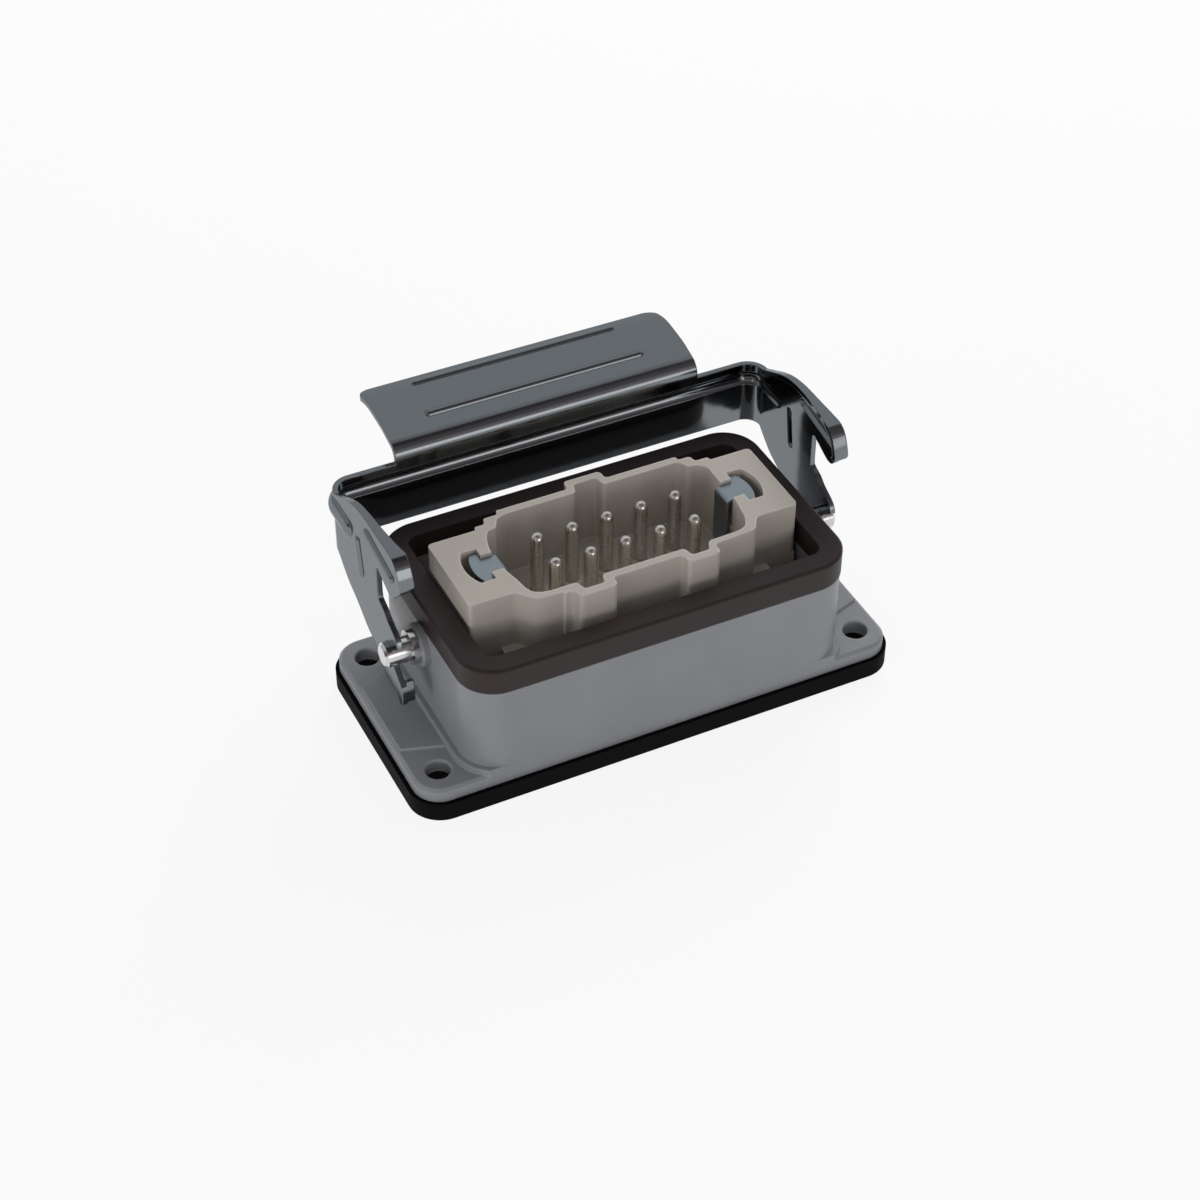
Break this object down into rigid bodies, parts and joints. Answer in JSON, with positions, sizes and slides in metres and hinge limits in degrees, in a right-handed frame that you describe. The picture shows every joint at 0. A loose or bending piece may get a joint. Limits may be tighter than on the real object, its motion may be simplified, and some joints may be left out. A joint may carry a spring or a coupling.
{
  "type": "heavy duty rectangular connector",
  "caption": "Panel-mount rectangular industrial connector: metal housing with flange gasket, rubber rim seal, hinged locking lever and a male insert with round pins.",
  "frame": {"origin": "centre of the panel face, on the underside of the flange gasket", "axes": "+X along the connector's long side, -Y the front, +Y the side the lever opens to, +Z the mating direction"},
  "size_m": [0.0944, 0.0667, 0.0446],
  "materials": {
    "coated_aluminium": "satin grey powder coat on die-cast aluminium",
    "gasket_rubber": "matt black rubber",
    "seal_rubber": "dark brown-black moulded rubber",
    "stainless_sheet": "polished stainless steel sheet",
    "peg_steel": "turned and polished stainless steel",
    "moulded_plastic": "light grey moulded polycarbonate, slightly satin",
    "plated_contact": "silver-plated turned copper alloy",
    "spring_strip": "tinned spring strip",
    "earth_sheet": "zinc-plated steel sheet",
    "screw_steel": "zinc-plated steel"
  },
  "bodies": {
    "base": {"housing": "coated_aluminium", "flange_gasket": "gasket_rubber", "rim_seal": "seal_rubber", "pivot_peg_left": "peg_steel", "pivot_peg_right": "peg_steel", "insert_body": "moulded_plastic", "contact_01": "plated_contact", "contact_02": "plated_contact", "contact_03": "plated_contact", "contact_04": "plated_contact", "contact_05": "plated_contact", "contact_06": "plated_contact", "contact_07": "plated_contact", "contact_08": "plated_contact", "contact_09": "plated_contact", "contact_10": "plated_contact", "terminal_screws": "screw_steel", "earth_spring_left": "spring_strip", "earth_spring_right": "spring_strip", "earth_plate_left": "earth_sheet", "earth_plate_right": "earth_sheet", "earth_screws": "screw_steel", "insert_screws": "screw_steel"},
    "locking_lever": {"lever": "stainless_sheet"}
  },
  "joints": [
    {"name": "lever_hinge", "type": "hinge", "parent": "base", "child": "locking_lever", "pos_m": [0, 0, 0.0207], "axis": [-1, 0, 0], "range_deg": [0, 45]}
  ]
}
